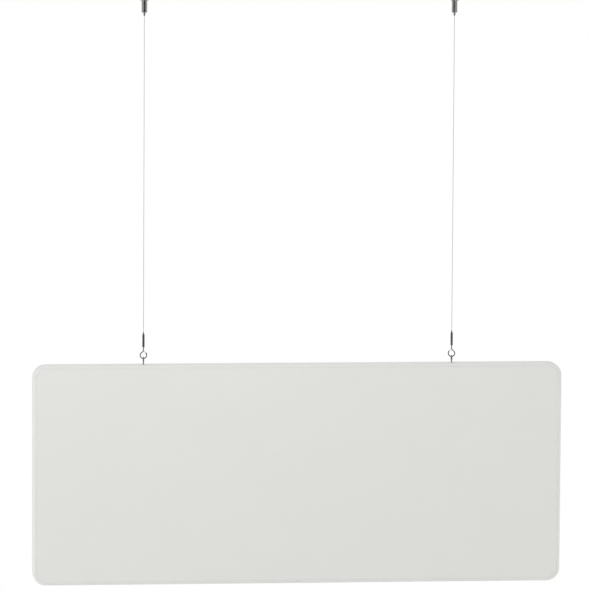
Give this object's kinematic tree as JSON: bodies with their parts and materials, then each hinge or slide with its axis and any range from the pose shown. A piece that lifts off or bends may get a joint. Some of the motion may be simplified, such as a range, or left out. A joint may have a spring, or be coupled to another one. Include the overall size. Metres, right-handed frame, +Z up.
{
  "type": "hanging acoustic panel",
  "caption": "Flat cloth-covered acoustic panel with rounded corners, hung from ceiling fittings by thin steel wires, spring hooks and eye screws.",
  "frame": {"origin": "on the ceiling plane, midway between the two ceiling fittings", "axes": "+X along the panel to the right seen from the front, +Y through the panel away from the viewer, +Z up"},
  "size_m": [1.2, 0.04, 1.322],
  "materials": {
    "cover_cloth": "matte",
    "felt": "matte",
    "batt": "matte",
    "timber": "matte",
    "polished_fitting": "polished",
    "hard_steel": "polished",
    "spring_steel": "satin",
    "wire_rope": "satin",
    "crimp_metal": "polished",
    "hook_steel": "polished"
  },
  "bodies": {
    "ceiling_fittings": {"left_ceiling_base": "polished_fitting", "left_gripper_barrel": "polished_fitting", "left_gripper_spring": "spring_steel", "left_wire_end": "wire_rope", "right_ceiling_base": "polished_fitting", "right_gripper_barrel": "polished_fitting", "right_gripper_spring": "spring_steel", "right_wire_end": "wire_rope"},
    "left_plunger": {"left_gripper_plunger": "polished_fitting", "left_gripper_balls": "hard_steel"},
    "right_plunger": {"right_gripper_plunger": "polished_fitting", "right_gripper_balls": "hard_steel"},
    "wire_bends": {"left_wire_bend": "wire_rope", "right_wire_bend": "wire_rope"},
    "left_wire": {"left_suspension_wire": "wire_rope"},
    "right_wire": {"right_suspension_wire": "wire_rope"},
    "left_hanger": {"left_crimp_sleeve": "crimp_metal", "left_hook": "hook_steel"},
    "right_hanger": {"right_crimp_sleeve": "crimp_metal", "right_hook": "hook_steel"},
    "left_gate": {"left_hook_gate": "spring_steel"},
    "right_gate": {"right_hook_gate": "spring_steel"},
    "panel": {"cover_front": "cover_cloth", "cover_back": "cover_cloth", "cover_band": "cover_cloth", "front_felt": "felt", "back_felt": "felt", "top_rail": "timber", "bottom_rail": "timber", "left_stile": "timber", "right_stile": "timber", "centre_stile": "timber", "left_batt": "batt", "right_batt": "batt", "left_eye_screw": "hook_steel", "right_eye_screw": "hook_steel"}
  },
  "joints": [
    {"name": "sway_fore_aft", "type": "hinge", "parent": "ceiling_fittings", "child": "wire_bends", "pos_m": [0, 0, -0.0365], "axis": [1, 0, 0], "range_deg": [-30, 30]},
    {"name": "sway_side", "type": "hinge", "parent": "wire_bends", "child": "left_wire", "pos_m": [-0.35, 0, -0.0425], "axis": [0, 1, 0], "range_deg": [-20, 20]},
    {"name": "sway_side_right", "type": "hinge", "parent": "wire_bends", "child": "right_wire", "pos_m": [0.35, 0, -0.0425], "axis": [0, 1, 0], "range_deg": [-20, 20]},
    {"name": "hook_level_left", "type": "hinge", "parent": "left_wire", "child": "left_hanger", "pos_m": [-0.35, 0, -0.74865], "axis": [0, 1, 0], "range_deg": [-20, 20]},
    {"name": "hook_level_right", "type": "hinge", "parent": "right_wire", "child": "right_hanger", "pos_m": [0.35, 0, -0.74865], "axis": [0, 1, 0], "range_deg": [-20, 20]},
    {"name": "panel_tilt", "type": "hinge", "parent": "left_hanger", "child": "panel", "pos_m": [-0.35, 0, -0.8088], "axis": [1, 0, 0], "range_deg": [-75, 75]},
    {"name": "left_gate_open", "type": "hinge", "parent": "left_hanger", "child": "left_gate", "pos_m": [-0.3478, 0, -0.7922], "axis": [0, 1, 0], "range_deg": [0, 25], "stiffness_Nm_per_rad": 0.004},
    {"name": "left_plunger_release", "type": "slide", "parent": "ceiling_fittings", "child": "left_plunger", "axis": [0, 0, 1], "range_m": [0, 0.0015], "stiffness_N_per_m": 1000, "deforming": ["left_gripper_spring"]},
    {"name": "right_gate_open", "type": "hinge", "parent": "right_hanger", "child": "right_gate", "pos_m": [0.3478, 0, -0.7922], "axis": [0, -1, 0], "range_deg": [0, 25], "stiffness_Nm_per_rad": 0.004},
    {"name": "right_plunger_release", "type": "slide", "parent": "ceiling_fittings", "child": "right_plunger", "axis": [0, 0, 1], "range_m": [0, 0.0015], "stiffness_N_per_m": 1000, "deforming": ["right_gripper_spring"]}
  ],
  "couplings": [
    {"joint": "sway_side_right", "follows": "sway_side", "ratio": 1},
    {"joint": "hook_level_left", "follows": "sway_side", "ratio": -1},
    {"joint": "hook_level_right", "follows": "sway_side", "ratio": -1}
  ]
}
